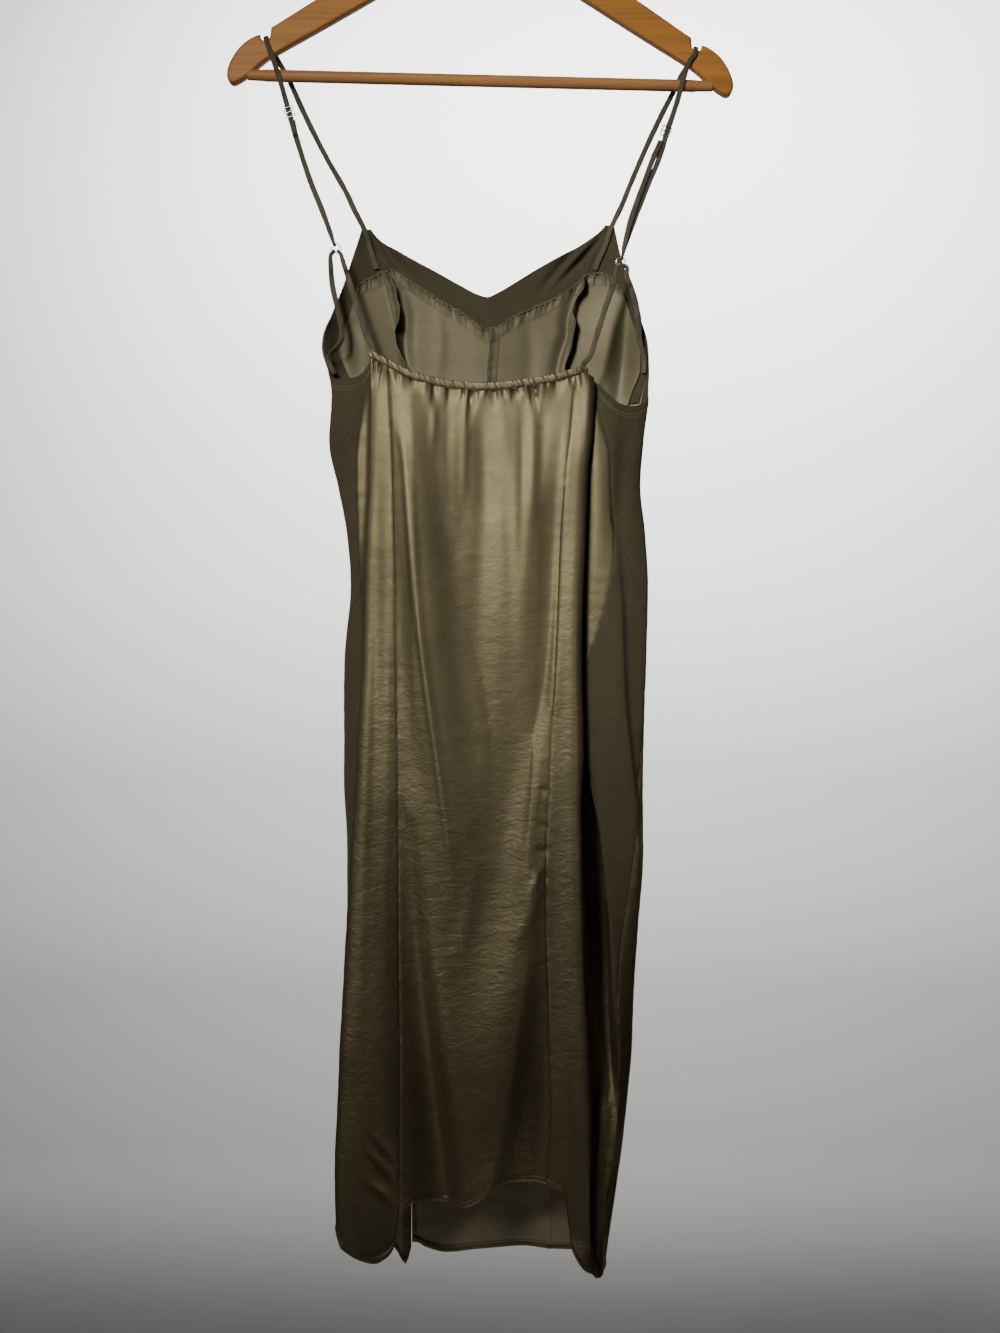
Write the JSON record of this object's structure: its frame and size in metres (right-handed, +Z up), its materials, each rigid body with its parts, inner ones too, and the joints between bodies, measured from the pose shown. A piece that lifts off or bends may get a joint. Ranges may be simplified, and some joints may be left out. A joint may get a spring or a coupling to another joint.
{
  "type": "slip dress on a hanger",
  "caption": "Long satin slip dress with thin adjustable straps, an elastic back neckline and matte side panels, hanging on a flat wooden hanger with a trouser bar.",
  "frame": {"origin": "inside top of the hanger's hook, where a rail carries it", "axes": "+Z up, -Y towards the side with the elastic back neckline, +X to the right when that side is looked at"},
  "size_m": [0.4452, 0.0798, 1.253],
  "materials": {
    "satin": "khaki satin, soft sheen, fine crinkle",
    "lining": "khaki satin lining, serged edge",
    "stretch": "matte dark khaki stretch fabric",
    "strap": "narrow sewn tube strap",
    "steel": "polished metal",
    "wood": "honey lacquered wood"
  },
  "bodies": {
    "root": {"back_center": "satin", "back_side_left": "satin", "back_side_right": "satin", "back_neck_casing": "satin", "front_center": "satin", "front_side_left": "satin", "front_side_right": "satin", "lining_center_left": "lining", "lining_center_right": "lining", "lining_side_left": "lining", "lining_side_right": "lining", "side_panel_left": "stretch", "side_panel_right": "stretch", "front_facing_left": "stretch", "front_facing_right": "stretch", "armhole_facing_left": "stretch", "armhole_facing_right": "stretch", "strap_long_left": "strap", "strap_long_right": "strap", "strap_outer_left": "strap", "strap_outer_right": "strap", "strap_inner_left": "strap", "strap_inner_right": "strap", "ring_left": "steel", "ring_right": "steel", "slider_left": "steel", "slider_right": "steel", "hanger_hook": "steel", "hanger_yoke": "wood", "hanger_bar": "wood"}
  },
  "joints": []
}
